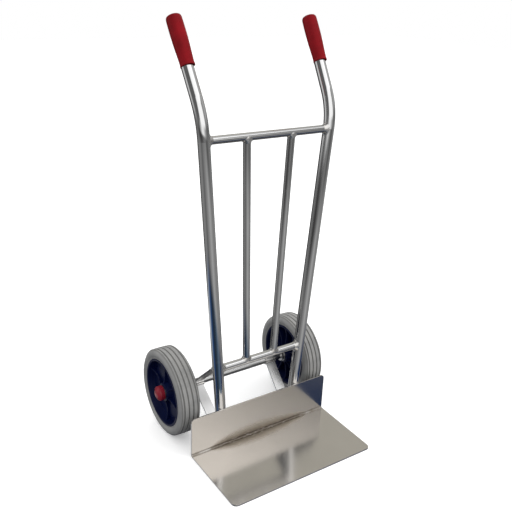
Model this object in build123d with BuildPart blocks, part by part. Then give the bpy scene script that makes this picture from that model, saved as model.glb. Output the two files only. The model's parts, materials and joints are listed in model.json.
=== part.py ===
from build123d import *
import math
import os

# Two-wheeled hand truck (sack truck), welded from polished stainless tube.
# Millimetres, +Z up, +X to the right. The toe plate points to -Y and the wheels stand at +Y.
# The origin is on the floor, in the middle of the truck's width and depth.

# ---- driving dimensions -------------------------------------------------------------------

# toe plate, a bent sheet with an upright back edge
plate_width = 450.0
plate_depth = 222.0
plate_thickness = 4.0
upstand_height = 120.0
plate_corner_radius = 15.0
upstand_corner_radius = 12.0
bend_inner_radius = 4.0
plate_edge_rounding = 0.6

# wheels and axle
wheel_radius = 125.0
wheel_centre_x = 210.0
tyre_half_width = 32.0
axle_radius = 10.0
axle_behind_upstand = 151.0

# side tubes, which splay outward and end in backward handles
tube_radius = 15.0
tube_wall = 2.0
tube_foot_z = 2.0
tube_foot_x = 116.3
tube_splay = 0.078
handle_corner_z = 912.0
handle_length = 247.0
handle_angle = 31.0
handle_drift = 7.0
handle_bend_radius = 180.0

# cross bars and inner bars
bar_radius = 10.0
bar_wall = 1.5
lower_crossbar_z = 241.0
upper_crossbar_z = 862.0
inner_bar_foot_x = 45.0
inner_bar_top_x = 65.8

# flat struts that carry the axle
strut_width = 30.0
strut_thickness = 5.0
strut_axle_x = 127.0
strut_cope = 15.0
upper_strut_z = 249.0
lower_strut_z = 12.0

# welds
root_gap = 0.3
weld_gap = 0.1
weld_size = 3.5
plate_weld_length = 26.0
plate_weld_count = 3

# grips
grip_length = 126.0
grip_end_wall = 5.0
grip_bore_gap = 0.1

# places that follow from the driving dimensions
truck_half_depth = (plate_depth + axle_behind_upstand + wheel_radius) / 2
plate_front_y = -truck_half_depth
upstand_front_y = plate_front_y + plate_depth
upstand_back_y = upstand_front_y + plate_thickness
tube_y = upstand_back_y + tube_radius
axle_y = upstand_front_y + axle_behind_upstand
axle_z = wheel_radius

sides = (("left", -1), ("right", 1))


def tube_x(height):
    """Distance of a side tube's centre line from the middle of the truck, below the handle."""
    return tube_foot_x + tube_splay * height


def handle_points(sign):
    """Foot below the floor, handle corner and open end of one side tube's centre line."""
    below = -2 * tube_radius
    foot = Vector(sign * tube_x(below), tube_y, below)
    corner = Vector(sign * tube_x(handle_corner_z), tube_y, handle_corner_z)
    tilt = math.radians(handle_angle)
    rise = Vector(sign * handle_drift / handle_length, math.sin(tilt), math.cos(tilt))
    return foot, corner, corner + rise.normalized() * handle_length


def side_tube_solid(sign, radius):
    """Round bar of the given radius that follows one side tube's centre line."""
    foot, corner, top = handle_points(sign)
    with BuildPart() as solid:
        with BuildLine():
            FilletPolyline(foot, corner, top, radius=handle_bend_radius)
        with BuildSketch(Plane(origin=foot, z_dir=corner - foot)):
            Circle(radius)
        sweep()
        split(bisect_by=Plane.XY.offset(tube_foot_z), keep=Keep.TOP)
    return solid.part


def crossbar_solid(height, radius):
    """Round bar across the truck, from one side tube's centre line to the other's."""
    with BuildPart() as solid:
        with BuildSketch(Plane.YZ):
            with Locations((tube_y, height)):
                Circle(radius)
        extrude(amount=tube_x(height), both=True)
    return solid.part


def inner_bar_solid(sign, radius):
    """Upright round bar between the centre lines of the two crossbars."""
    foot = Vector(sign * inner_bar_foot_x, tube_y, lower_crossbar_z)
    top = Vector(sign * inner_bar_top_x, tube_y, upper_crossbar_z)
    with BuildPart() as solid:
        with BuildSketch(Plane(origin=foot, z_dir=top - foot)):
            Circle(radius)
        extrude(amount=(top - foot).length)
    return solid.part


def strut_solid(sign, tube_height, width, thickness):
    """Flat bar from the axle's centre towards a side tube, ending just inside its wall."""
    start = Vector(sign * strut_axle_x, axle_y, axle_z)
    end = Vector(sign * tube_x(tube_height), tube_y, tube_height)
    with BuildPart() as solid:
        with BuildSketch(Plane(origin=start, x_dir=(1, 0, 0), z_dir=end - start)):
            Rectangle(width, thickness)
        extrude(amount=(end - start).length - strut_cope)
    return solid.part


def axle_solid(radius, length):
    """Round bar on the axle's centre line, centred on the truck."""
    with BuildPart() as solid:
        with BuildSketch(Plane.YZ):
            with Locations((axle_y, axle_z)):
                Circle(radius)
        extrude(amount=length / 2, both=True)
    return solid.part


def save(part, name):
    """Label a finished piece and write it."""
    part.label = name
    export_step(part, f"parts/{name}.step")


os.makedirs("parts", exist_ok=True)

# ---- toe plate ----------------------------------------------------------------------------

with BuildPart() as toe_plate:
    with BuildSketch(Plane.YZ) as plate_profile:
        with BuildLine():
            Polyline(
                (plate_front_y, 0),
                (upstand_back_y, 0),
                (upstand_back_y, upstand_height),
                (upstand_front_y, upstand_height),
                (upstand_front_y, plate_thickness),
                (plate_front_y, plate_thickness),
                close=True,
            )
        make_face()
        outer_corner = plate_profile.vertices().sort_by_distance((upstand_back_y, 0, 0))[0]
        fillet(outer_corner, bend_inner_radius + plate_thickness)
        inner_corner = plate_profile.vertices().sort_by_distance(
            (upstand_front_y, plate_thickness, 0)
        )[0]
        fillet(inner_corner, bend_inner_radius)
    extrude(amount=plate_width / 2, both=True)
    fillet(toe_plate.edges().filter_by(Axis.Z).group_by(Axis.Y)[0], plate_corner_radius)
    fillet(toe_plate.edges().filter_by(Axis.Y).group_by(Axis.Z)[-1], upstand_corner_radius)
    end_edges = toe_plate.faces().filter_by(Axis.X).edges()
    end_outlines = end_edges.filter_by(lambda edge: edge.length > plate_thickness + 1)
    bend_arcs = end_edges.filter_by(GeomType.CIRCLE)
    long_edges = toe_plate.edges().filter_by(Axis.X)
    free_edges = long_edges.group_by(Axis.Y)[0] + long_edges.group_by(Axis.Z)[-1]
    corner_arcs = toe_plate.edges().filter_by(GeomType.CIRCLE).filter_by(
        lambda edge: edge.radius in (plate_corner_radius, upstand_corner_radius)
    )
    fillet(set(end_outlines + bend_arcs + free_edges + corner_arcs), plate_edge_rounding)
save(toe_plate.part, "toe_plate")

# ---- side tubes ---------------------------------------------------------------------------

for side, sign in sides:
    outside = side_tube_solid(sign, tube_radius)
    inside = side_tube_solid(sign, tube_radius - tube_wall)
    with BuildPart() as side_tube:
        add(outside)
        add(inside, mode=Mode.SUBTRACT)
    save(side_tube.part, f"side_tube_{side}")

# ---- crossbars, coped to the side tubes ---------------------------------------------------

tube_cutters = [side_tube_solid(sign, tube_radius + root_gap) for side, sign in sides]

for name, height in (("upper_crossbar", upper_crossbar_z), ("lower_crossbar", lower_crossbar_z)):
    outside = crossbar_solid(height, bar_radius)
    inside = crossbar_solid(height, bar_radius - bar_wall)
    with BuildPart() as crossbar:
        add(outside)
        add(inside, mode=Mode.SUBTRACT)
        add(tube_cutters, mode=Mode.SUBTRACT)
    save(crossbar.part, name)

# ---- inner bars, coped to the crossbars ---------------------------------------------------

crossbar_cutters = [
    crossbar_solid(height, bar_radius + root_gap) for height in (lower_crossbar_z, upper_crossbar_z)
]

for side, sign in sides:
    outside = inner_bar_solid(sign, bar_radius)
    inside = inner_bar_solid(sign, bar_radius - bar_wall)
    with BuildPart() as inner_bar:
        add(outside)
        add(inside, mode=Mode.SUBTRACT)
        add(crossbar_cutters, mode=Mode.SUBTRACT)
    save(inner_bar.part, f"inner_bar_{side}")

# ---- axle ---------------------------------------------------------------------------------

axle_end_x = wheel_centre_x + 31.5
axle_chamfer = 1.0

with BuildPart() as axle:
    add(axle_solid(axle_radius, 2 * axle_end_x))
    chamfer(axle.edges().filter_by(GeomType.CIRCLE), axle_chamfer)
save(axle.part, "axle")

# ---- struts between the axle and the side tubes -------------------------------------------
# The upper struts end beside the lower crossbar and leave room for its weld beads.

struts = (("upper_strut", upper_strut_z), ("lower_strut", lower_strut_z))
axle_cutter = axle_solid(axle_radius + root_gap, 2 * axle_end_x)
crossbar_room = crossbar_solid(lower_crossbar_z, bar_radius + weld_size + weld_gap)

for name, height in struts:
    for side, sign in sides:
        flat_bar = strut_solid(sign, height, strut_width, strut_thickness)
        with BuildPart() as strut:
            add(flat_bar)
            add(axle_cutter, mode=Mode.SUBTRACT)
            add(tube_cutters, mode=Mode.SUBTRACT)
            add(crossbar_room, mode=Mode.SUBTRACT)
            split(bisect_by=Plane.XY.offset(tube_foot_z), keep=Keep.TOP)
        save(strut.part, f"{name}_{side}")

# ---- welds --------------------------------------------------------------------------------
# A bead fills the corner between two pieces: it is what lies within the bead's size of both
# and inside neither.


def bead(thick_first, thick_second, solids_to_clear):
    """Ring-shaped weld bead in the corner between two touching pieces."""
    with BuildPart() as ring:
        add(thick_first)
        add(thick_second, mode=Mode.INTERSECT)
        add(solids_to_clear, mode=Mode.SUBTRACT)
    return ring.part


tube_walls = [side_tube_solid(sign, tube_radius + weld_gap) for side, sign in sides]
tube_skins = [side_tube_solid(sign, tube_radius + weld_size) for side, sign in sides]

frame_beads = []
for height in (upper_crossbar_z, lower_crossbar_z):
    bar_wall_solid = crossbar_solid(height, bar_radius + weld_gap)
    bar_skin = crossbar_solid(height, bar_radius + weld_size)
    for wall, skin in zip(tube_walls, tube_skins):
        frame_beads.append(bead(bar_skin, skin, [wall, bar_wall_solid]))
    for side, sign in sides:
        frame_beads.append(
            bead(
                inner_bar_solid(sign, bar_radius + weld_size),
                bar_skin,
                [inner_bar_solid(sign, bar_radius + weld_gap), bar_wall_solid],
            )
        )

with BuildPart() as frame_welds:
    add(frame_beads)
save(frame_welds.part, "frame_welds")

axle_wall = axle_solid(axle_radius + weld_gap, 2 * axle_end_x)
axle_skin = axle_solid(axle_radius + weld_size, 2 * axle_end_x)

strut_beads = []
for name, height in struts:
    for sign, wall, skin in zip((-1, 1), tube_walls, tube_skins):
        bar = strut_solid(
            sign, height, strut_width + 2 * weld_gap, strut_thickness + 2 * weld_gap
        )
        thick_bar = strut_solid(
            sign, height, strut_width + 2 * weld_size, strut_thickness + 2 * weld_size
        )
        strut_beads.append(bead(thick_bar, skin, [wall, bar, crossbar_room]))
        strut_beads.append(bead(thick_bar, axle_skin, [axle_wall, bar]))

with BuildPart() as strut_welds:
    add(strut_beads)
save(strut_welds.part, "strut_welds")

# Stitch welds run up both sides of each tube, in the wedge between the tube and the upstand.
stitch_offset = 9.0
stitch_pitch = (upstand_height - plate_weld_length) / plate_weld_count
stitches = []
for (side, sign), wall in zip(sides, tube_walls):
    for count in range(plate_weld_count):
        stitch_z = stitch_pitch * (count + 1)
        for way in (-1, 1):
            with BuildPart() as stitch:
                with BuildSketch(Plane.XY.offset(stitch_z)):
                    with Locations((sign * tube_x(stitch_z) + way * stitch_offset, upstand_back_y)):
                        Circle(weld_size + 1)
                extrude(amount=plate_weld_length)
                split(bisect_by=Plane.XZ.offset(-upstand_back_y - weld_gap), keep=Keep.BOTTOM)
                add(wall, mode=Mode.SUBTRACT)
            stitches.append(stitch.part)

with BuildPart() as toe_plate_welds:
    add(stitches)
save(toe_plate_welds.part, "toe_plate_welds")

# ---- grips --------------------------------------------------------------------------------
# A grip is a closed rubber sleeve, slimmer at its open end and round at its closed end.

grip_collar_radius = 18.4
grip_collar_width = 4.0
grip_neck_radius = 17.6
grip_neck_height = 6.0
grip_palm_radius = 20.2
grip_palm_height = 70.0
grip_end_radius = 19.6
grip_crown_rise = 3.0
grip_end_rounding = 6.0
grip_bore = tube_radius + grip_bore_gap
grip_bore_depth = grip_length - grip_end_wall
grip_shoulder = grip_length - grip_crown_rise
crown_radius = (grip_end_radius**2 + grip_crown_rise**2) / (2 * grip_crown_rise)
crown_point = grip_end_radius / 2
crown_drop = crown_radius - math.sqrt(crown_radius**2 - crown_point**2)

with BuildPart() as grip:
    with BuildSketch(Plane.XZ) as grip_profile:
        with BuildLine():
            Polyline(
                (0, grip_length),
                (0, grip_bore_depth),
                (grip_bore, grip_bore_depth),
                (grip_bore, 0),
                (grip_collar_radius, 0),
                (grip_collar_radius, grip_collar_width),
                (grip_neck_radius, grip_neck_height),
            )
            ThreePointArc(
                (grip_neck_radius, grip_neck_height),
                (grip_palm_radius, grip_palm_height),
                (grip_end_radius, grip_shoulder),
            )
            ThreePointArc(
                (grip_end_radius, grip_shoulder),
                (crown_point, grip_length - crown_drop),
                (0, grip_length),
            )
        make_face()
        shoulder = grip_profile.vertices().sort_by_distance((grip_end_radius, grip_shoulder, 0))[0]
        fillet(shoulder, grip_end_rounding)
    revolve(axis=Axis.Z)

for side, sign in sides:
    foot, corner, top = handle_points(sign)
    along = (top - corner).normalized()
    grip_start = top - along * (grip_bore_depth - grip_bore_gap)
    save(Plane(origin=grip_start, z_dir=along) * grip.part, f"grip_{side}")

# ---- wheels -------------------------------------------------------------------------------
# Wheel profiles are drawn with the radius across and the distance outboard of the wheel's
# middle plane upward, and turned about the axle.

seat_radius = 95.0
lip_radius = 97.3
lip_width = 3.5
rim_half_width = 29.5
band_bore = 91.0
fit_gap = 0.15

hub_radius = 24.0
hub_bore = 17.0
hub_inner_end = -33.0
hub_outer_end = 24.0
hub_root_radius = 27.0
web_inner_face = 2.0
web_outer_face = 8.0
dish_radius = 86.0

groove_offsets = (-20.0, -6.7, 6.7, 20.0)
groove_width = 3.2
groove_depth = 3.0

roller_count = 12
roller_radius = 2.42
roller_pitch_radius = 12.5
roller_length = 44.0
cage_bore = 10.7
cage_radius = 14.3
cage_length = 52.0
cage_play = 0.12
bearing_middle = (hub_inner_end + hub_outer_end) / 2
sleeve_bore = 15.0

end_play = 0.3
washer_thickness = 2.0
washer_radius = 18.0
washer_bore = 10.2
collar_radius = 16.0
collar_width = 8.0
clamp_thickness = 2.0

cap_radius = 21.0
cap_wall = 2.2
cap_skirt = 8.5
cap_height = 20.0


def profile_plane(sign):
    """Plane through the axle: local x is the radius, local y points outboard."""
    middle = (sign * wheel_centre_x, axle_y, axle_z)
    return Plane(origin=middle, x_dir=(0, 0, 1), z_dir=(0, sign, 0))


def cross_plane(sign, outboard):
    """Plane across the axle at a distance outboard of the wheel's middle plane."""
    place = (sign * (wheel_centre_x + outboard), axle_y, axle_z)
    return Plane(origin=place, x_dir=(0, 0, 1), z_dir=(sign, 0, 0))


def axle_axis(sign):
    """The axle's centre line, pointing outboard."""
    return Axis((0, axle_y, axle_z), (sign, 0, 0))


def ring(sign, inner_end, outer_end, bore, radius):
    """Plain ring on the axle between two distances from the wheel's middle plane."""
    with BuildPart() as body:
        with BuildSketch(cross_plane(sign, inner_end)):
            Circle(radius)
            Circle(bore, mode=Mode.SUBTRACT)
        extrude(amount=outer_end - inner_end)
    return body.part


for side, sign in sides:

    # solid rubber tyre with round shoulders and grooves around its tread
    bead_half_width = rim_half_width - 1
    shoulder_radius = wheel_radius - 5.5
    shoulder_half_width = 0.87 * tyre_half_width
    tread_radius = wheel_radius - 0.8
    tread_half_width = 0.62 * tyre_half_width
    lip_inside = rim_half_width - lip_width
    with BuildPart() as tyre:
        with BuildSketch(profile_plane(sign)):
            with BuildLine():
                for way in (-1, 1):
                    Polyline(
                        (seat_radius + fit_gap, 0),
                        (seat_radius + fit_gap, way * (lip_inside - fit_gap)),
                        (lip_radius + fit_gap, way * (lip_inside - fit_gap)),
                        (lip_radius + fit_gap, way * bead_half_width),
                    )
                    ThreePointArc(
                        (lip_radius + fit_gap, way * bead_half_width),
                        (wheel_radius - 16, way * tyre_half_width),
                        (shoulder_radius, way * shoulder_half_width),
                    )
                    ThreePointArc(
                        (shoulder_radius, way * shoulder_half_width),
                        (wheel_radius - 2.6, way * 0.76 * tyre_half_width),
                        (tread_radius, way * tread_half_width),
                    )
                ThreePointArc(
                    (tread_radius, -tread_half_width),
                    (wheel_radius, 0),
                    (tread_radius, tread_half_width),
                )
            make_face()
        revolve(axis=axle_axis(sign))
        with BuildSketch(profile_plane(sign)):
            with Locations([(wheel_radius, place) for place in groove_offsets]):
                Trapezoid(groove_width, groove_depth, 80, rotation=90)
        revolve(axis=axle_axis(sign), mode=Mode.SUBTRACT)
    save(tyre.part, f"tyre_{side}")

    # moulded plastic rim: band with two lips, dished web and a long hub
    with BuildPart() as rim:
        with BuildSketch(profile_plane(sign)):
            with BuildLine():
                Polyline(
                    (hub_bore, hub_inner_end),
                    (hub_radius, hub_inner_end),
                    (hub_root_radius, web_inner_face),
                    (dish_radius, web_inner_face),
                    (band_bore, -rim_half_width),
                    (lip_radius, -rim_half_width),
                    (lip_radius, -lip_inside),
                    (seat_radius, -lip_inside),
                    (seat_radius, lip_inside),
                    (lip_radius, lip_inside),
                    (lip_radius, rim_half_width),
                    (band_bore, rim_half_width),
                    (dish_radius, web_outer_face),
                    (hub_root_radius, web_outer_face),
                    (hub_radius, hub_outer_end),
                    (hub_bore, hub_outer_end),
                    close=True,
                )
            make_face()
        revolve(axis=axle_axis(sign))
    save(rim.part, f"wheel_rim_{side}")

    # roller bearing: steel sleeve in the hub, plastic cage and loose rollers on the axle
    sleeve = ring(sign, hub_inner_end + 1, hub_outer_end - 1, sleeve_bore, hub_bore - weld_gap / 2)
    save(sleeve, f"bearing_sleeve_{side}")

    with BuildPart() as cage:
        add(
            ring(
                sign,
                bearing_middle - cage_length / 2,
                bearing_middle + cage_length / 2,
                cage_bore,
                cage_radius,
            )
        )
        pocket_length = roller_length + 2 * cage_play
        with BuildSketch(cross_plane(sign, bearing_middle - pocket_length / 2)):
            with PolarLocations(roller_pitch_radius, roller_count):
                Circle(roller_radius + cage_play)
        extrude(amount=pocket_length, mode=Mode.SUBTRACT)
    save(cage.part, f"bearing_cage_{side}")

    with BuildPart() as rollers:
        with BuildSketch(cross_plane(sign, bearing_middle - roller_length / 2)):
            with PolarLocations(roller_pitch_radius, roller_count):
                Circle(roller_radius)
        extrude(amount=roller_length)
    save(rollers.part, f"bearing_rollers_{side}")

    # red cap over the axle's end, pushed onto the clamp ring
    cap_base = hub_outer_end + end_play + washer_thickness + 0.5
    cap_shoulder = cap_base + cap_skirt
    cap_top = cap_base + cap_height
    dome = cap_top - cap_shoulder
    dome_radius = (cap_radius**2 + dome**2) / (2 * dome)
    half_way = 0.6 * cap_radius
    dome_drop = dome_radius - math.sqrt(dome_radius**2 - half_way**2)
    cap_bore = cap_radius - cap_wall - 0.7
    with BuildPart() as hub_cap:
        with BuildSketch(profile_plane(sign)):
            with BuildLine():
                Polyline((cap_bore, cap_base), (cap_radius, cap_base), (cap_radius, cap_shoulder))
                ThreePointArc(
                    (cap_radius, cap_shoulder), (half_way, cap_top - dome_drop), (0, cap_top)
                )
                Line((0, cap_top), (0, cap_top - cap_wall))
                ThreePointArc(
                    (0, cap_top - cap_wall),
                    (half_way, cap_top - dome_drop - cap_wall),
                    (cap_bore, cap_shoulder),
                )
                Line((cap_bore, cap_shoulder), (cap_bore, cap_base))
            make_face()
        revolve(axis=axle_axis(sign))
    save(hub_cap.part, f"hub_cap_{side}")

# ---- small steel parts on the axle, one of each kind per side ------------------------------

clamp_start = hub_outer_end + end_play + washer_thickness
washer_end = hub_inner_end - end_play

with BuildPart() as clamp_rings:
    for side, sign in sides:
        add(ring(sign, clamp_start, clamp_start + clamp_thickness, axle_radius, washer_radius))
save(clamp_rings.part, "axle_clamp_rings")

with BuildPart() as washers:
    for side, sign in sides:
        add(ring(sign, hub_outer_end + end_play, clamp_start, washer_bore, washer_radius))
        add(ring(sign, washer_end - washer_thickness, washer_end, washer_bore, washer_radius))
save(washers.part, "thrust_washers")

with BuildPart() as collars:
    collar_end = washer_end - washer_thickness
    for side, sign in sides:
        add(ring(sign, collar_end - collar_width, collar_end, axle_radius, collar_radius))
save(collars.part, "stop_collars")
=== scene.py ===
import json
import math

import bmesh
import bpy
import numpy as np
from mathutils import Matrix, Vector
from mathutils.geometry import interpolate_bezier


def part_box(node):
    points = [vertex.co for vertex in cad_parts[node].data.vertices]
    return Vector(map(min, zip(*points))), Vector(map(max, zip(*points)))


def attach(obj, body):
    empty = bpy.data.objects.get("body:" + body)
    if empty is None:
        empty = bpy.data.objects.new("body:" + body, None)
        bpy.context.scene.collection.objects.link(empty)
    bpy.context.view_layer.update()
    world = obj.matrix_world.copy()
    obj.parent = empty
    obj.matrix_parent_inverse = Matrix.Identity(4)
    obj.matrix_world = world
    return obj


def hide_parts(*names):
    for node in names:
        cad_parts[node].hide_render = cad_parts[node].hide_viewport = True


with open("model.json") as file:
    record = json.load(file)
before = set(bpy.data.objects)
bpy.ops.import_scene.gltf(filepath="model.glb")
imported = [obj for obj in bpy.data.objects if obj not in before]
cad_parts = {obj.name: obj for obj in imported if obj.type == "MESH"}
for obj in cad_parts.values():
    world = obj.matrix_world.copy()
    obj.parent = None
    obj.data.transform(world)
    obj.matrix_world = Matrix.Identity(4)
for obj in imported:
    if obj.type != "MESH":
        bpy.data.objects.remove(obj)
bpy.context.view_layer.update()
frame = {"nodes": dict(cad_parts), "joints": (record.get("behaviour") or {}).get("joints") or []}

# Looks of a two-wheeled hand truck: polished tube frame, satin toe plate, grey tyres on dark
# blue rims, red grips and red hub caps. Metres, in the CAD frame: +Z up, toe plate at -Y.

MM = 0.001
SIDES = (("left", -1), ("right", 1))
NODES = frame["nodes"]


# ---- places read from the frame -----------------------------------------------------------

def joint_place(name):
    """Centre of a joint in the row frame."""
    for joint in frame["joints"]:
        if joint["name"] == name:
            return Vector(joint["pos_m"])
    raise KeyError(name)


AXLE = {side: joint_place(f"{side}_wheel_spin") for side, _ in SIDES}


def line_of(node):
    """Lower end, upward direction and length of a long round CAD node, from its own points."""
    points = np.array([v.co for v in NODES[node].data.vertices], float)
    middle = points.mean(axis=0)
    direction = np.linalg.svd(points - middle, full_matrices=False)[2][0]
    if direction[2] < 0:
        direction = -direction
    along = (points - middle) @ direction
    start = middle + along.min() * direction
    return Vector(start), Vector(direction), float(along.max() - along.min())


# ---- node materials -----------------------------------------------------------------------

class Look:
    """A node material around one Principled shader, with short names for the usual nodes."""

    def __init__(self, name, **sockets):
        self.material = bpy.data.materials.new(name)
        self.material.use_nodes = True
        self.nodes = self.material.node_tree.nodes
        self.links = self.material.node_tree.links
        self.shader = self.nodes["Principled BSDF"]
        for socket, value in sockets.items():
            self.shader.inputs[socket.replace("_", " ")].default_value = value
        self.place = self.nodes.new("ShaderNodeTexCoord").outputs["Object"]

    def node(self, kind, inputs=(), **settings):
        made = self.nodes.new("ShaderNode" + kind)
        for key, value in settings.items():
            setattr(made, key, value)
        for key, value in dict(inputs).items():
            self.feed(made.inputs[key], value)
        return made

    def feed(self, socket, value):
        if isinstance(value, bpy.types.NodeSocket):
            self.links.new(value, socket)
        else:
            socket.default_value = value

    def stretched(self, scale, turn=(0, 0, 0)):
        """Object coordinates scaled apart along each axis."""
        mapping = self.node("Mapping", {"Vector": self.place, "Scale": scale, "Rotation": turn})
        return mapping.outputs["Vector"]

    def noise(self, scale, detail=4.0, rough=0.55, where=None):
        where = where or self.place
        made = self.node(
            "TexNoise", {"Vector": where, "Scale": scale, "Detail": detail, "Roughness": rough}
        )
        return made.outputs["Fac"]

    def spread(self, value, low, high, to_low=0.0, to_high=1.0):
        inputs = {"Value": value, "From Min": low, "From Max": high}
        made = self.node("MapRange", inputs | {"To Min": to_low, "To Max": to_high})
        return made.outputs["Result"]

    def math(self, operation, first, second=0.0):
        made = self.node("Math", {0: first, 1: second}, operation=operation)
        return made.outputs["Value"]

    def mix(self, factor, first, second, blend="MIX"):
        made = self.node("Mix", data_type="RGBA", blend_type=blend)
        self.feed(made.inputs["Factor"], factor)
        self.feed(made.inputs["A"], first)
        self.feed(made.inputs["B"], second)
        return made.outputs["Result"]

    def part_of(self, axis):
        return self.node("SeparateXYZ", {"Vector": self.place}).outputs[axis]

    def colour(self, value):
        self.feed(self.shader.inputs["Base Color"], value)

    def roughness(self, value):
        self.feed(self.shader.inputs["Roughness"], value)

    def bump(self, height, depth, strength=1.0, below=None):
        made = self.node("Bump", {"Height": height, "Distance": depth, "Strength": strength})
        if below is not None:
            self.links.new(below, made.inputs["Normal"])
        self.links.new(made.outputs["Normal"], self.shader.inputs["Normal"])
        return made.outputs["Normal"]


def grey(level, warm=0.0):
    return (level * (1 + warm), level, level * (1 - warm), 1)


SCRATCH_SCALE = 0.35
SCRATCH_TURN = (0.12, 0.05, 0.3)
SCRATCH_ROUGHNESS = 0.06
CLOUD_TONE = 0.93


def metal_look(name, tone, smooth, rough, grain, warm=0.0, grain_depth=0.0):
    """Steel with soft cloudy wear, fine grain in the sheen and a few long scratches."""
    look = Look(name, Metallic=1.0)
    lines = look.noise(1.0, 3.0, 0.6, look.stretched(grain))
    clouds = look.noise(11.0, 5.0, 0.6)
    long_marks = look.stretched(tuple(SCRATCH_SCALE * scale for scale in grain), SCRATCH_TURN)
    scratches = look.spread(look.noise(1.0, 2.0, 0.5, long_marks), 0.68, 0.72)
    mixed = look.math("ADD", look.math("MULTIPLY", lines, 0.4), look.math("MULTIPLY", clouds, 0.6))
    base = look.spread(mixed, 0.3, 0.7, smooth, rough)
    look.roughness(look.math("ADD", base, look.math("MULTIPLY", scratches, SCRATCH_ROUGHNESS)))
    share = look.spread(clouds, 0.3, 0.75)
    look.colour(look.mix(share, grey(tone, warm), grey(tone * CLOUD_TONE, warm)))
    if grain_depth:
        look.bump(lines, grain_depth, 0.6)
    return look


def tube_steel():
    return metal_look("polished_tube", 0.72, 0.045, 0.1, (40, 40, 40))


def bar_steel():
    return metal_look("polished_crossbar", 0.72, 0.08, 0.16, (20, 60, 60))


def strut_steel():
    return metal_look("satin_flat_bar", 0.68, 0.24, 0.36, (420, 30, 30), 0.0, 0.01 * MM)


def axle_steel():
    return metal_look("drawn_axle", 0.62, 0.2, 0.32, (14, 600, 600), 0.0, 0.02 * MM)


def small_steel():
    return metal_look("plated_steel", 0.6, 0.24, 0.38, (300, 300, 300), 0.02, 0.02 * MM)


def roller_steel():
    return metal_look("ground_roller", 0.7, 0.06, 0.12, (60, 900, 900))


# The worn lens along the toe plate's bend, and the dark line in its middle.
BEND = 7 * MM
LENS_OFFSET = 4 * MM
LENS_HALF_LENGTH = 175 * MM
LENS_WIDTH = 36 * MM
LENS_POWER = 2.5
LENS_END_SHARE = 0.12
RAGGED = 22 * MM
CREASE_FULL = 4.5 * MM
CREASE_NONE = 8 * MM
WORN_ROUGHNESS = 0.22
CREASE_ROUGHNESS = 0.15
PLATE_METALS = ((0.68, 0.65, 0.615, 1), (0.62, 0.595, 0.56, 1))
PLATE_BROWN = (0.42, 0.375, 0.32, 1)
PLATE_DARK = (0.26, 0.23, 0.19, 1)
PLATE_CREASE = (0.16, 0.135, 0.11, 1)
PLATE_FLECK = (0.85, 0.82, 0.78, 1)


def plate_steel():
    """Bright stainless sheet: fine grain, faint clouds, and a worn brown lens along the bend."""
    look = Look("satin_plate", Metallic=1.0)
    plate_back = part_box("toe_plate")[1].y
    grain = look.noise(1.0, 3.0, 0.6, look.stretched((10, 600, 600)))
    clouds = look.noise(5.0, 3.0, 0.5)
    patches = look.noise(26.0, 5.0, 0.65)
    flecks = look.spread(look.noise(1.0, 4.0, 0.6, look.stretched((90, 420, 420))), 0.56, 0.66)
    from_bend = look.math("ABSOLUTE", look.math("SUBTRACT", look.part_of("Y"), plate_back - BEND))
    from_floor = look.math("ABSOLUTE", look.math("SUBTRACT", look.part_of("Z"), BEND))
    reach = look.math("ADD", from_bend, from_floor)
    aside = look.math(
        "DIVIDE", look.math("ADD", look.part_of("X"), LENS_OFFSET), LENS_HALF_LENGTH
    )
    lens = look.math("SUBTRACT", 1.0, look.math("POWER", look.math("ABSOLUTE", aside), LENS_POWER))
    width = look.math("MULTIPLY", look.math("MAXIMUM", lens, LENS_END_SHARE), LENS_WIDTH)
    ragged = look.math("MULTIPLY", look.math("SUBTRACT", patches, 0.5), RAGGED)
    crease_width = look.spread(reach, CREASE_FULL, CREASE_NONE, 1.0, 0.0)
    crease = look.math("MULTIPLY", crease_width, look.spread(lens, 0.0, 0.6, 0.4, 0.8))
    share = look.math("DIVIDE", look.math("ADD", reach, ragged), width)
    in_bend = look.spread(share, 0.4, 1.1, 1.0, 0.0)
    core = look.spread(share, 0.1, 0.5, 1.0, 0.0)
    mixed = look.math("ADD", look.math("MULTIPLY", grain, 0.3), look.math("MULTIPLY", clouds, 0.7))
    base = look.spread(mixed, 0.3, 0.7, 0.13, 0.2)
    worn = look.math("ADD", base, look.math("MULTIPLY", in_bend, WORN_ROUGHNESS))
    look.roughness(look.math("ADD", worn, look.math("MULTIPLY", crease, CREASE_ROUGHNESS)))
    metal = look.mix(look.spread(clouds, 0.3, 0.7), *PLATE_METALS)
    brown = look.mix(look.math("MULTIPLY", in_bend, 0.85), metal, PLATE_BROWN)
    dark = look.mix(look.math("MULTIPLY", core, 0.7), brown, PLATE_DARK)
    line = look.mix(crease, dark, PLATE_CREASE)
    bright_flecks = look.math("MULTIPLY", look.math("MULTIPLY", flecks, core), 0.8)
    look.colour(look.mix(bright_flecks, line, PLATE_FLECK))
    first = look.bump(clouds, 0.5 * MM, 0.35)
    look.bump(grain, 0.004 * MM, 0.5, first)
    return look


WELD_METALS = ((0.72, 0.71, 0.70, 1), (0.58, 0.56, 0.53, 1))


def weld_steel():
    """Bright brushed bead with a lumpy surface."""
    look = Look("weld_bead", Metallic=1.0)
    lumps = look.noise(260.0, 4.0, 0.6)
    tint = look.noise(60.0, 3.0, 0.5)
    look.roughness(look.spread(lumps, 0.3, 0.7, 0.18, 0.34))
    look.colour(look.mix(look.spread(tint, 0.35, 0.65), *WELD_METALS))
    look.bump(lumps, 0.3 * MM, 0.5)
    return look


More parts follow.
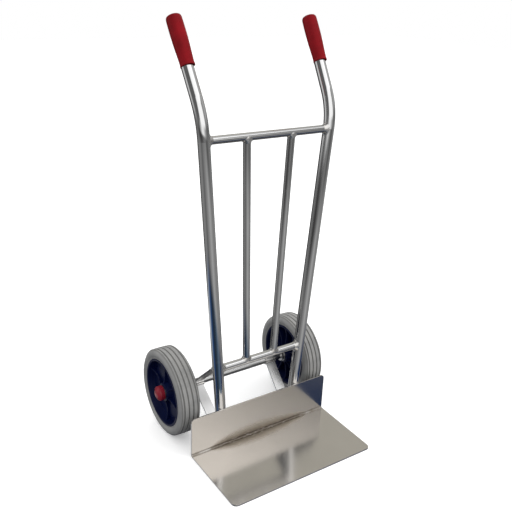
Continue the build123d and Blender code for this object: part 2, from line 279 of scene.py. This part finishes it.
# Distances from the wheel's middle where the tread's scuffs begin and end, and where the painted
# shade low in the grooves begins and becomes full.
SCUFF_FROM = 119.5 * MM
SCUFF_FULL = 123.5 * MM
GROOVE_SHADE_NONE = 124.0 * MM
GROOVE_SHADE_FULL = 122.5 * MM
TYRE_GREYS = ((0.225, 0.225, 0.222, 1), (0.275, 0.275, 0.27, 1))
TYRE_SCUFF = (0.31, 0.305, 0.29, 1)
# Painted shade: dark colour for the bottoms of the tread's grooves.
TYRE_GROOVE_SHADE = (0.09, 0.086, 0.08, 1)


def tyre_rubber():
    """Grey solid rubber: matt, faintly mottled, with painted shade low in the grooves and scuffed
    tread.
    """
    look = Look("grey_tyre", Roughness=0.8, Specular_IOR_Level=0.35)
    fine = look.noise(900.0, 3.0, 0.6)
    soft = look.noise(28.0, 4.0, 0.6)
    middle = AXLE["left"]
    across = look.math("POWER", look.math("SUBTRACT", look.part_of("Y"), middle.y), 2)
    upward = look.math("POWER", look.math("SUBTRACT", look.part_of("Z"), middle.z), 2)
    radius = look.math("SQRT", look.math("ADD", across, upward))
    tread = look.spread(radius, SCUFF_FROM, SCUFF_FULL)
    # Painted shade: a mask that is full low in the tread's grooves.
    groove = look.spread(radius, GROOVE_SHADE_NONE, GROOVE_SHADE_FULL)
    wear = look.math("MULTIPLY", tread, look.spread(soft, 0.35, 0.7))
    plain = look.mix(look.spread(soft, 0.3, 0.7), *TYRE_GREYS)
    worn = look.mix(look.math("MULTIPLY", wear, 0.6), plain, TYRE_SCUFF)
    # Painted shade: the tread's grooves darken towards their bottoms.
    painted_groove_shade = look.math("MULTIPLY", look.math("MULTIPLY", groove, tread), 0.7)
    look.colour(look.mix(painted_groove_shade, worn, TYRE_GROOVE_SHADE))
    look.roughness(look.spread(soft, 0.3, 0.7, 0.66, 0.86))
    look.bump(fine, 0.08 * MM, 0.5)
    return look


def moulded_plastic(name, deep, light, smooth, rough, shine=0.5, grain=500.0, depth=0.04 * MM):
    """Plastic or rubber mottled between two colours, with a fine moulded grain."""
    look = Look(name, Specular_IOR_Level=shine)
    fine = look.noise(grain, 2.0, 0.5)
    soft = look.noise(24.0, 4.0, 0.6)
    look.colour(look.mix(look.spread(soft, 0.35, 0.72), deep, light))
    look.roughness(look.spread(soft, 0.3, 0.7, smooth, rough))
    look.bump(fine, depth, 0.5)
    return look


def rim_plastic():
    deep, light = (0.0008, 0.003, 0.026, 1), (0.0015, 0.005, 0.04, 1)
    return moulded_plastic("blue_rim", deep, light, 0.36, 0.5, 0.15)


def grip_rubber():
    deep, light = (0.17, 0.001, 0.004, 1), (0.25, 0.002, 0.007, 1)
    return moulded_plastic("red_grip", deep, light, 0.4, 0.5, 0.12, 700.0, 0.08 * MM)


def cap_plastic():
    deep, light = (0.20, 0.008, 0.018, 1), (0.25, 0.012, 0.026, 1)
    return moulded_plastic("red_cap", deep, light, 0.24, 0.36, 0.4)


def cage_plastic():
    deep, light = (0.62, 0.58, 0.48, 1), (0.7, 0.66, 0.56, 1)
    return moulded_plastic("nylon_cage", deep, light, 0.4, 0.5)


LOOKS = {
    "toe_plate": plate_steel,
    "side_tube": tube_steel,
    "crossbar": bar_steel,
    "inner_bar": tube_steel,
    "strut_": strut_steel,
    "axle": axle_steel,
    "weld": weld_steel,
    "grip": grip_rubber,
    "axle_clamp_rings": small_steel,
    "thrust_washers": small_steel,
    "stop_collars": small_steel,
    "hub_cap": cap_plastic,
    "tyre": tyre_rubber,
    "rim": rim_plastic,
    "bearing_sleeve": small_steel,
    "bearing_cage": cage_plastic,
    "bearing_rollers": roller_steel,
}
made_looks = {}


def look_for(name):
    """The material for a node or piece: the last entry in LOOKS whose key is in its name."""
    maker = [LOOKS[key] for key in LOOKS if key in name][-1]
    if maker not in made_looks:
        made_looks[maker] = maker().material
    return made_looks[maker]


def dress(thing, name):
    thing.data.materials.clear()
    thing.data.materials.append(look_for(name))


for name, node in NODES.items():
    dress(node, name)


# ---- mesh building ------------------------------------------------------------------------

MERGE = 0.001 * MM
X_AXIS = Vector((1, 0, 0))


def grid_faces(rows, columns, wrap_rows):
    """Quads between neighbouring rows of points; each row closes on itself."""
    faces = []
    for row in range(rows if wrap_rows else rows - 1):
        above = (row + 1) % rows
        for column in range(columns):
            beside = (column + 1) % columns
            faces.append((
                row * columns + column,
                row * columns + beside,
                above * columns + beside,
                above * columns + column,
            ))
    return faces


def turned_about(profile, origin, axis, steps, closed):
    """Shell of a profile of (radius, distance along the axis) in mm, turned about the axis."""
    first = axis.orthogonal().normalized()
    second = axis.cross(first)
    points = []
    for radius, along in profile:
        for step in range(steps):
            turn = 2 * math.pi * step / steps
            out = math.cos(turn) * first + math.sin(turn) * second
            points.append(origin + MM * (along * axis + radius * out))
    return points, grid_faces(len(profile), steps, closed)


def add_piece(name, shells, body, replaced=(), sharp=35):
    """One mesh object made of closed shells, dressed for its name and riding on a body."""
    builder = bmesh.new()
    for points, faces in shells:
        made = [builder.verts.new(point) for point in points]
        for face in faces:
            builder.faces.new([made[index] for index in face])
    bmesh.ops.remove_doubles(builder, verts=builder.verts, dist=MERGE)
    bmesh.ops.recalc_face_normals(builder, faces=builder.faces)
    mesh = bpy.data.meshes.new(name)
    builder.to_mesh(mesh)
    builder.free()
    mesh.polygons.foreach_set("use_smooth", [True] * len(mesh.polygons))
    mesh.set_sharp_from_angle(angle=math.radians(sharp))
    piece = bpy.data.objects.new(name, mesh)
    bpy.context.scene.collection.objects.link(piece)
    dress(piece, name)
    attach(piece, body)
    if replaced:
        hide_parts(*replaced)
    return piece


def smooth_run(points, tangents, steps):
    """Smooth profile through 2-D points, with a tangent vector at each."""
    made = [tuple(points[0])]
    for index in range(len(points) - 1):
        start = Vector((*points[index], 0))
        end = Vector((*points[index + 1], 0))
        leave = start + Vector((*tangents[index], 0)) / 3
        arrive = end - Vector((*tangents[index + 1], 0)) / 3
        run = interpolate_bezier(start, leave, arrive, end, steps)
        made += [(point.x, point.y) for point in run[1:]]
    return made


CORNER_SHARE = 0.45


def rounded(corners, radius, steps=4):
    """Closed profile with every corner rounded by up to the given radius."""
    made = []
    for index, corner in enumerate(corners):
        here = Vector(corner)
        before = Vector(corners[index - 1]) - here
        after = Vector(corners[(index + 1) % len(corners)]) - here
        reach = min(radius, CORNER_SHARE * before.length, CORNER_SHARE * after.length)
        start = here + reach * before.normalized()
        end = here + reach * after.normalized()
        for step in range(steps + 1):
            share = step / steps
            point = (1 - share) ** 2 * start + 2 * share * (1 - share) * here + share**2 * end
            made.append(tuple(point))
    return made


# ---- welds ----------------------------------------------------------------------------------

BEAD_LIFT = 1.6 * MM
BEAD_SINK = 0.3 * MM
BEAD_STEPS = 7
RIPPLE = 1.9 * MM
SECTIONS_PER_RIPPLE = 6
LONG_SWELL = 9 * MM
SHORT_SWELL = 4.3 * MM
COLLAR_REACH = 0.8
LEAN_TO_BRANCH = 0.15
SHORTER_WHERE_FLAT = 0.4
END_TAPER = 0.35
TAPER_RATE = 6
CROSSBAR_LEG = 8.0 * MM
INNER_BAR_LEG = 7.4 * MM
STITCH_LEG = 8.0 * MM
STITCH_LENGTH = 26 * MM
STITCH_PITCH = 31 * MM
STITCH_COUNT = 3
STITCH_OFFSET = 5 * MM


def bead_shell(sections, closed):
    """Weld bead along a seam, as a row of sections.

    Each section is (root, end of one leg, end of the other leg, outward direction, lift).
    """
    points = []
    for root, one, other, out, lift in sections:
        peak = root + lift * out
        for step in range(BEAD_STEPS + 1):
            share = step / BEAD_STEPS
            point = (1 - share) ** 2 * one + 2 * share * (1 - share) * peak + share**2 * other
            points.append(point - BEAD_SINK * (1 - math.sin(math.pi * share)) * out)
        points.append(root - BEAD_SINK * out)
    columns = BEAD_STEPS + 2
    faces = grid_faces(len(sections), columns, closed)
    if not closed:
        faces.append(tuple(range(columns)))
        faces.append(tuple(range(len(points) - columns, len(points))))
    return points, faces


def bead_leg(size, run, phase):
    """Leg length of a bead at a distance along its seam: ripples, and slow swelling."""
    ripple = abs(math.sin(math.pi * (run / RIPPLE + phase)))
    swell = math.sin(run / LONG_SWELL + 5 * phase) + 0.6 * math.sin(run / SHORT_SWELL + 11 * phase)
    return size * (0.93 + 0.06 * ripple + 0.07 * swell)


def onto_bar(point, bar_point, bar_axis, bar_radius):
    """Nearest point on a round bar's surface, and the surface's outward normal there."""
    across = point - bar_point
    foot = bar_point + across.dot(bar_axis) * bar_axis
    normal = (point - foot).normalized()
    return foot + bar_radius * normal, normal


def saddle_bead(branch, main, size, phase):
    """Ring of weld where a branch bar lands on a main bar; each bar is (point, axis, radius)."""
    branch_point, axis, branch_radius = branch
    main_point, main_axis, main_radius = main
    first = axis.cross(main_axis).normalized()
    second = axis.cross(first)
    count = round(2 * math.pi * branch_radius / RIPPLE) * SECTIONS_PER_RIPPLE
    way = axis - axis.dot(main_axis) * main_axis
    meeting = (main_point - branch_point).dot(way) / way.dot(way)
    sections = []
    for step in range(count):
        turn = 2 * math.pi * step / count
        out = math.cos(turn) * first + math.sin(turn) * second
        start = branch_point + branch_radius * out
        gap = start - main_point
        gap -= gap.dot(main_axis) * main_axis
        half = gap.dot(way) / way.dot(way)
        left_over = max(half**2 - (gap.dot(gap) - main_radius**2) / way.dot(way), 0.0)
        root, normal = onto_bar(start + (-half - math.sqrt(left_over)) * axis, *main)
        leg = bead_leg(size, branch_radius * turn, phase)
        lean = LEAN_TO_BRANCH * (axis - axis.dot(normal) * normal)
        spread = (out - out.dot(normal) * normal + lean).normalized()
        flat = max(out.dot(normal), 0.0)
        far = onto_bar(root + (1 - SHORTER_WHERE_FLAT * flat) * leg * spread, *main)[0]
        collar = start + (meeting - main_radius - COLLAR_REACH * leg) * axis
        lift = (0.5 + flat) * BEAD_LIFT
        sections.append((root, collar, far, (out + normal).normalized(), lift))
    return bead_shell(sections, True)


def straight_bead(start, end, first_leg, second_leg, size, phase):
    """Weld along a straight seam; the legs are functions from (root, leg) to a surface point."""
    length = (end - start).length
    count = round(length / RIPPLE) * SECTIONS_PER_RIPPLE
    sections = []
    for step in range(count + 1):
        share = step / count
        root = start.lerp(end, share)
        taper = min(1.0, END_TAPER + TAPER_RATE * min(share, 1 - share))
        leg = taper * bead_leg(size, share * length, phase)
        one, other = first_leg(root, leg), second_leg(root, leg)
        out = ((one - root).normalized() + (other - root).normalized()).normalized()
        sections.append((root, one, other, out, 2 * BEAD_LIFT))
    return bead_shell(sections, False)


def crossbar(node):
    """Middle, axis and radius of a crossbar."""
    low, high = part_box(node)
    return (low + high) / 2, X_AXIS, (high.z - low.z) / 2


def side_tube(sign):
    """Point, axis and radius of the straight part of a side tube.

    A crossbar's coped end reaches furthest where its widest line touches the tube.
    """
    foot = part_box("side_tube_left")[0]
    places = []
    for node in ("lower_crossbar", "upper_crossbar"):
        middle, _, bar_radius = crossbar(node)
        radius = middle.y - foot.y
        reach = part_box(node)[1].x + math.sqrt(radius**2 - bar_radius**2)
        places.append(Vector((sign * reach, middle.y, middle.z)))
    return places[0], (places[1] - places[0]).normalized(), radius


def add_frame_welds():
    """Rings of weld at both ends of the crossbars and of the inner bars."""
    shells = []
    for index, node in enumerate(("lower_crossbar", "upper_crossbar")):
        bar = crossbar(node)
        for side, sign in SIDES:
            branch = (bar[0], sign * bar[1], bar[2])
            phase = 0.31 * sign + index
            shells.append(saddle_bead(branch, side_tube(sign), CROSSBAR_LEG, phase))
            start, upward, length = line_of(f"inner_bar_{side}")
            toward = upward if index else -upward
            branch = (start + length / 2 * upward, toward, bar[2])
            shells.append(saddle_bead(branch, bar, INNER_BAR_LEG, 0.17 * sign + index))
    add_piece("frame_weld_beads", shells, "frame", ["frame_welds"], 60)


def add_plate_welds():
    """Three stitches up each side of each tube, between the tube and the upstand's back."""
    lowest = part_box("toe_plate_welds")[0].z
    plate_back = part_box("toe_plate")[1].y
    shells = []
    for _, sign in SIDES:
        point, axis, radius = side_tube(sign)
        for count in range(STITCH_COUNT):
            bottom = lowest + count * STITCH_PITCH
            for way in (-1, 1):
                seam = []
                for height in (bottom, bottom + STITCH_LENGTH):
                    centre = point + (height - point.z) / axis.z * axis
                    seam.append(Vector((centre.x + way * STITCH_OFFSET, plate_back, height)))

                def on_plate(root, leg, way=way):
                    return root + way * leg * X_AXIS

                def on_tube(root, leg, way=way, tube=(point, axis, radius)):
                    return onto_bar(root + way * 0.95 * leg * X_AXIS, *tube)[0]

                phase = 0.2 * way + count
                shells.append(straight_bead(*seam, on_plate, on_tube, STITCH_LEG, phase))
    add_piece("toe_plate_weld_beads", shells, "frame", ["toe_plate_welds"], 60)


# ---- grips ----------------------------------------------------------------------------------

# Millimetres: the sleeve's bore, and how far its end stays inside the CAD grip's end.
GRIP_BORE = 15.1
GRIP_END_GAP = 3.5
TURNED_STEPS = 96


def add_grips():
    """Closed rubber sleeves: rolled open edge, slim neck, fuller palm and a rounded end."""
    for side, _ in SIDES:
        start, along, length = line_of(f"grip_{side}")
        end = length / MM - GRIP_END_GAP
        skin = smooth_run(
            [(17.1, 6.5), (19.2, 0.5 * end), (18.7, end - 7), (12.5, end - 0.6), (0, end)],
            [(-1, 24), (0.5, 45), (-2, 14), (-11, 1.5), (-12, 0)],
            12,
        )
        bore_end = end - 1.5
        profile = [(0, bore_end), (GRIP_BORE, bore_end), (GRIP_BORE, 0.8), (15.9, 0), (17.0, 0)]
        roll = smooth_run([(17.0, 0), (17.7, 2.2), (17.1, 6.5)], [(2, 0), (0, 5), (0, 3)], 6)
        profile += roll[1:]
        profile += skin[1:]
        shell = turned_about(profile, start, along, TURNED_STEPS, False)
        add_piece(f"grip_sleeve_{side}", [shell], "frame", [f"grip_{side}"])


# ---- wheels ---------------------------------------------------------------------------------

# Millimetres: distances from the wheel's middle plane, and the tread's shape across it.
GROOVES = (-20.0, -6.7, 6.7, 20.0)
GROOVE_DEPTH = 3.2
GROOVE_FLOOR = 0.9
GROOVE_WALL = 1.6
ROLLED_DEPTH = 0.35
ROLLED_REACH = 5.5
TREAD_CROWN = 1.3
TREAD_SHARE = 0.74
TREAD_STEPS = 110
TYRE_STEPS = 180
RIM_STEPS = 128


def tread_radius(place, radius, half_width):
    """Radius of the tread at a distance from its middle: crowned ribs between four grooves."""
    crown = radius - TREAD_CROWN * (place / half_width) ** 2
    nearest = min(abs(place - groove) for groove in GROOVES)
    share = min(max((nearest - GROOVE_FLOOR) / GROOVE_WALL, 0.0), 1.0)
    depth = GROOVE_DEPTH * (1 - share * share * (3 - 2 * share))
    rolled = ROLLED_DEPTH * max(0.0, 1 - nearest / ROLLED_REACH) ** 2
    return crown - max(depth, rolled)


def tyre_profile(radius, half_width):
    """Outline of a solid tyre: seat, bead steps, bulged walls, round shoulders, ribbed tread."""
    tread_half = TREAD_SHARE * half_width
    half = [(95.2, 25.8), (97.5, 25.8), (97.5, 28.2), (98.2, 28.9), (100.4, 29.3), (101.0, 28.9)]
    tread_edge = (tread_radius(tread_half, radius, half_width), tread_half)
    half += smooth_run(
        [(101.8, 29.0), (110.0, half_width), (118.8, 29.0), tread_edge],
        [(3, 3), (11, 0), (7, -5), (2, -7)],
        9,
    )
    tread = []
    for step in range(1, TREAD_STEPS):
        place = tread_half * (1 - 2 * step / TREAD_STEPS)
        tread.append((tread_radius(place, radius, half_width), place))
    return half + tread + [(across, -place) for across, place in reversed(half)]


def add_tyres():
    for side, sign in SIDES:
        low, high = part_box(f"tyre_{side}")
        radius, half_width = (high.z - low.z) / 2 / MM, (high.x - low.x) / 2 / MM
        profile = tyre_profile(radius, half_width)
        shell = turned_about(profile, AXLE[side], sign * X_AXIS, TYRE_STEPS, True)
        add_piece(f"tyre_ribbed_{side}", [shell], f"{side}_wheel", [f"tyre_{side}"])


# Rim: points are (radius, distance outward along the axle) in millimetres.
RIM_CORNERS = (
    (17.0, -33.0), (24.0, -33.0), (26.5, 2.0), (84.0, 2.0), (90.6, -29.5), (97.3, -29.5),
    (97.3, -26.0), (95.0, -26.0), (95.0, 26.0), (97.3, 26.0), (97.3, 29.5), (91.4, 29.5),
    (90.2, 27.0), (86.5, 9.0), (78.0, 8.0), (76.0, 9.6), (33.0, 9.6), (31.5, 8.0),
    (28.0, 8.0), (26.0, 24.0), (17.0, 24.0),
)
RIM_ROUNDING = 1.5
OUTER_RIB = (
    (24, 7), (25.2, 21), (34, 18.6), (50, 15.2), (66, 15.2), (80, 18.6), (90.5, 23), (91.5, 7),
)
INNER_RIB = (
    (22, 4), (22, -27), (34, -22), (50, -18.5), (66, -18), (80, -20), (92.5, -25), (92.5, 4),
)
# Outline, number round the wheel and thickness of each kind of rib.
RIBS = ((OUTER_RIB, 6, 3.6), (INNER_RIB, 12, 3.2))
RIB_START = 0.37
RIB_SOFTENING = 0.6


def rib_shell(outline, thickness, origin, axis, turn):
    """Radial rib: an outline of (radius, distance along the axis), with softened edges."""
    first = axis.orthogonal().normalized()
    second = axis.cross(first)
    out = math.cos(turn) * first + math.sin(turn) * second
    over = axis.cross(out)
    middle = Vector((0, 0))
    for corner in outline:
        middle += Vector(corner) / len(outline)
    points = []
    for offset, inset in ((-1, RIB_SOFTENING), (-0.75, 0), (0.75, 0), (1, RIB_SOFTENING)):
        for corner in outline:
            here = Vector(corner)
            here += inset * (middle - here).normalized()
            place = here.x * out + here.y * axis + offset * thickness / 2 * over
            points.append(origin + MM * place)
    count = len(outline)
    faces = grid_faces(4, count, False)
    faces.append(tuple(range(count)))
    faces.append(tuple(range(3 * count, 4 * count)))
    return points, faces


def add_rims():
    """Moulded rims: two rounded lips, dished web with a step, hub, and ribs on both faces."""
    profile = rounded(RIM_CORNERS, RIM_ROUNDING)
    for side, sign in SIDES:
        outward = sign * X_AXIS
        shells = [turned_about(profile, AXLE[side], outward, RIM_STEPS, True)]
        for outline, count, thickness in RIBS:
            for step in range(count):
                turn = 2 * math.pi * (step + RIB_START) / count
                shells.append(rib_shell(outline, thickness, AXLE[side], outward, turn))
        replaced = [f"wheel_rim_{side}"]
        add_piece(f"rim_moulding_{side}", shells, f"{side}_wheel", replaced)


# Hub cap, in millimetres: its skirt's wall, and the ring pressed into its dome.
CAP_WALL = 2.4
CAP_RING = 8.6


def add_caps():
    """Domed caps with a soft edge and a shallow ring, hollow behind."""
    for side, sign in SIDES:
        low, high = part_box(f"hub_cap_{side}")
        radius, height = (high.z - low.z) / 2 / MM, (high.x - low.x) / MM
        base = (low.x if sign > 0 else -high.x) / MM - abs(AXLE[side].x) / MM
        top = base + height
        ring = (CAP_RING, top - 1.5)
        dome = smooth_run(
            [(radius, top - 9.8), (radius - 3.4, top - 4.8), (9.5, top - 0.9), ring],
            [(0, 6), (-6, 4), (-6, 0.6), (-1, -0.6)],
            8,
        )
        crown = smooth_run(
            [ring, (7.6, top - 0.7), (0, top)],
            [(-1, 0.4), (-1.6, 0.4), (-8, 0)],
            6,
        )
        inside = radius - CAP_WALL
        back = [
            (0, top - 3), (9, top - 3.6), (radius - 5, top - 6.5), (inside, top - 10),
            (inside, base + 0.5), (inside + 0.6, base),
        ]
        profile = [(radius - 0.6, base), (radius, base + 0.6)] + dome + crown[1:] + back
        shell = turned_about(profile, AXLE[side], sign * X_AXIS, TURNED_STEPS, True)
        add_piece(f"hub_cap_dome_{side}", [shell], "frame", [f"hub_cap_{side}"])


add_frame_welds()
add_plate_welds()
add_grips()
add_tyres()
add_rims()
add_caps()


# ---- stage, light and camera --------------------------------------------------------------

FLOOR_SIZE = 12.0
FLOOR_GLOW = 0.25


def add_floor():
    """Pale floor just under the truck, which the truck doesn't mirror."""
    size = FLOOR_SIZE
    mesh = bpy.data.meshes.new("floor")
    corners = [(-size, -size, 0), (size, -size, 0), (size, size, 0), (-size, size, 0)]
    mesh.from_pydata(corners, [], [(0, 1, 2, 3)])
    floor = bpy.data.objects.new("floor", mesh)
    floor.location.z = -0.5 * MM
    bpy.context.scene.collection.objects.link(floor)
    look = Look("pale_floor", Roughness=0.9)
    look.colour(grey(0.9))
    look.shader.inputs["Emission Color"].default_value = grey(1.0)
    look.shader.inputs["Emission Strength"].default_value = FLOOR_GLOW
    mesh.materials.append(look.material)
    floor.visible_glossy = False
    floor.visible_diffuse = False


# Surroundings, in degrees: the front's azimuth, and the elevations between which one band of
# reflections gives way to the next. The soft light is dim below and white above.
FRONT_AZIMUTH = -124
LOW_GROUND_TO_GROUND = (-46, -40)
GROUND_TO_LOW_WALL = (-32, -28.5)
LOW_WALL_TO_DARK_WALL = (-19, -14)
DARK_WALL_TO_WALL = (-9, -5)
WALL_TO_LOW_SKY = (2, 10)
LOW_SKY_TO_HIGH_SKY = (36.5, 39)
WARM_FROM = (0, 10)
SOFT_LIGHT_FROM = (-25, 15)
WARM_TINT = (1.02, 1.0, 0.91, 1)
SOFT_BELOW = (0.11, 0.12, 0.15, 1)
SOFT_ABOVE = 1.12


def add_world():
    """White studio for the eye and for soft light; bands of grey and blue for reflections.

    Each band is a ramp all the way round, starting opposite FRONT_AZIMUTH; the bands lie one
    above the other, from the ground to the high sky.
    """
    world = bpy.data.worlds.new("studio")
    bpy.context.scene.world = world
    world.use_nodes = True
    nodes, links = world.node_tree.nodes, world.node_tree.links
    nodes.clear()

    def node(kind, inputs=(), **settings):
        made = nodes.new("ShaderNode" + kind)
        for key, value in settings.items():
            setattr(made, key, value)
        for key, value in dict(inputs).items():
            if isinstance(value, bpy.types.NodeSocket):
                links.new(value, made.inputs[key])
            else:
                made.inputs[key].default_value = value
        return made

    def ramp(value, stops, interpolation="LINEAR"):
        made = node("ValToRGB", {"Fac": value})
        made.color_ramp.interpolation = interpolation
        elements = made.color_ramp.elements
        while len(elements) < len(stops):
            elements.new(0.5)
        for element, (place, colour) in zip(elements, stops):
            element.position = place
            element.color = colour
        return made.outputs["Color"]

    def blend(factor, first, second, kind="MIX"):
        made = node("Mix", data_type="RGBA", blend_type=kind)
        for key, value in (("Factor", factor), ("A", first), ("B", second)):
            if isinstance(value, bpy.types.NodeSocket):
                links.new(value, made.inputs[key])
            else:
                made.inputs[key].default_value = value
        return made.outputs["Result"]

    def greys(value, *stops):
        return ramp(value, [(place, grey(level)) for place, level in stops])

    def above(low, high):
        """Share that rises from 0 to 1 between two elevations in degrees."""
        ends = [math.sin(math.radians(angle)) for angle in (low, high)]
        return node(
            "MapRange", {"Value": parts.outputs["Z"], "From Min": ends[0], "From Max": ends[1]}
        ).outputs["Result"]

    direction = node("TexCoord").outputs["Generated"]
    parts = node("SeparateXYZ", {"Vector": direction})
    plan = {0: parts.outputs["Y"], 1: parts.outputs["X"]}
    turn = node("Math", plan, operation="ARCTAN2").outputs[0]
    front = math.radians(FRONT_AZIMUTH)
    facing = node("Math", {0: turn, 1: front}, operation="SUBTRACT").outputs[0]
    share = node("Math", {0: facing, 1: 2 * math.pi}, operation="DIVIDE").outputs[0]
    shifted = node("Math", {0: share, 1: 1.5}, operation="ADD").outputs[0]
    around = node("Math", {0: shifted, 1: 1.0}, operation="MODULO").outputs[0]

    high_sky = greys(
        around, (0.0, 0.47), (0.12, 0.35), (0.22, 0.12), (0.245, 1.0), (0.27, 0.95),
        (0.295, 0.14), (0.455, 0.12), (0.495, 1.3), (0.66, 1.45), (0.7, 1.75), (0.735, 1.4),
        (0.775, 0.7), (0.9, 0.55), (1.0, 0.47),
    )
    low_sky = greys(
        around, (0.0, 0.5), (0.12, 0.3), (0.22, 0.12), (0.245, 1.0), (0.27, 0.95),
        (0.295, 0.14), (0.445, 0.13), (0.485, 1.3), (0.665, 1.3), (0.688, 0.55), (0.708, 0.22),
        (0.76, 0.45), (0.9, 0.55), (1.0, 0.5),
    )
    wall = greys(
        around, (0.0, 0.12), (0.19, 0.09), (0.22, 0.7), (0.26, 0.7), (0.3, 0.28), (0.38, 0.11),
        (0.44, 0.5), (0.5, 1.15), (0.56, 1.05), (0.62, 0.55), (0.68, 0.27), (0.76, 0.15),
        (0.86, 0.19), (1.0, 0.12),
    )
    dark_wall = greys(
        around, (0.0, 0.1), (0.15, 0.08), (0.25, 0.22), (0.32, 0.13), (0.39, 0.045), (0.45, 0.08),
        (0.52, 0.17), (0.59, 0.24), (0.66, 0.1), (0.75, 0.2), (0.86, 0.32), (1.0, 0.15),
    )
    low_wall = greys(
        around, (0.0, 0.12), (0.15, 0.08), (0.25, 0.28), (0.33, 0.26), (0.4, 0.15), (0.47, 0.25),
        (0.54, 0.35), (0.6, 0.47), (0.67, 0.36), (0.75, 0.25), (0.86, 0.36), (1.0, 0.2),
    )
    ground = ramp(around, (
        (0.0, grey(0.5)), (0.15, grey(0.8)),
        (0.23, (0.4, 0.46, 0.55, 1)), (0.32, (0.025, 0.08, 0.22, 1)),
        (0.42, (0.02, 0.03, 0.05, 1)), (0.5, (0.03, 0.05, 0.08, 1)),
        (0.57, (0.07, 0.12, 0.18, 1)), (0.63, (0.12, 0.17, 0.25, 1)),
        (0.68, (0.001, 0.018, 0.08, 1)), (0.82, (0.005, 0.024, 0.088, 1)),
        (0.9, grey(0.2)), (1.0, grey(0.4)),
    ))
    ground = blend(above(*LOW_GROUND_TO_GROUND), grey(0.1), ground)
    bands = blend(above(*GROUND_TO_LOW_WALL), ground, low_wall)
    bands = blend(above(*LOW_WALL_TO_DARK_WALL), bands, dark_wall)
    bands = blend(above(*DARK_WALL_TO_WALL), bands, wall)
    bands = blend(above(*WALL_TO_LOW_SKY), bands, low_sky)
    bands = blend(above(*LOW_SKY_TO_HIGH_SKY), bands, high_sky)
    behind = greys(around, (0.0, 1.0), (0.1, 0.0), (0.84, 0.0), (0.94, 1.0))
    warm = blend(behind, grey(1.0), WARM_TINT)
    bands = blend(above(*WARM_FROM), bands, blend(1.0, bands, warm, "MULTIPLY"))

    soft = blend(above(*SOFT_LIGHT_FROM), SOFT_BELOW, grey(SOFT_ABOVE))
    rays = node("LightPath").outputs
    seen = blend(rays["Is Glossy Ray"], soft, bands)
    colour = blend(rays["Is Camera Ray"], seen, grey(1.0))
    background = node("Background", {"Color": colour, "Strength": 1.0})
    output = node("OutputWorld")
    links.new(background.outputs[0], output.inputs["Surface"])


def add_light(name, place, target, size, power):
    """Soft area lamp that mirrors don't show."""
    data = bpy.data.lights.new(name, "AREA")
    data.shape = "RECTANGLE"
    data.size, data.size_y = size
    data.energy = power
    lamp = bpy.data.objects.new(name, data)
    lamp.location = place
    lamp.rotation_mode = "QUATERNION"
    lamp.rotation_quaternion = (Vector(target) - Vector(place)).to_track_quat("-Z", "Y")
    lamp.visible_glossy = False
    bpy.context.scene.collection.objects.link(lamp)


CAMERA_PLACE = (-0.9313, -1.3387, 1.2079)
CAMERA_AZIMUTH = -34.22
CAMERA_ELEVATION = 22.32
CAMERA_ROLL = -2.27
CAMERA_LENS = 47.26
CAMERA_SENSOR = 36.0


def add_camera():
    """Camera in front and to the left, a little above the handles, tilted slightly."""
    data = bpy.data.cameras.new("camera")
    camera = bpy.data.objects.new("camera", data)
    bpy.context.scene.collection.objects.link(camera)
    bpy.context.scene.camera = camera
    azimuth = math.radians(CAMERA_AZIMUTH)
    elevation = math.radians(CAMERA_ELEVATION)
    roll = math.radians(CAMERA_ROLL)
    back = Vector((
        math.sin(azimuth) * math.cos(elevation),
        -math.cos(azimuth) * math.cos(elevation),
        math.sin(elevation),
    ))
    right = Vector((math.cos(azimuth), math.sin(azimuth), 0))
    up = back.cross(right)
    turned_right = math.cos(roll) * right - math.sin(roll) * up
    turned_up = back.cross(turned_right)
    camera.rotation_mode = "QUATERNION"
    axes = Matrix((turned_right, turned_up, back)).transposed()
    camera.rotation_quaternion = axes.to_quaternion()
    camera.location = CAMERA_PLACE
    data.sensor_width = CAMERA_SENSOR
    data.lens = CAMERA_LENS


bpy.context.scene.view_settings.view_transform = "Standard"
add_floor()
add_world()
add_light("left_lamp", (-2.2, -1.6, 2.8), (0, 0, 0.4), size=(1.6, 1.6), power=12)
add_light("right_lamp", (2.4, -2.0, 1.9), (0, 0, 0.5), size=(1.8, 1.8), power=46)
add_light("back_lamp", (0.6, 2.6, 2.2), (0, 0, 0.5), size=(2.0, 1.2), power=18)
add_camera()
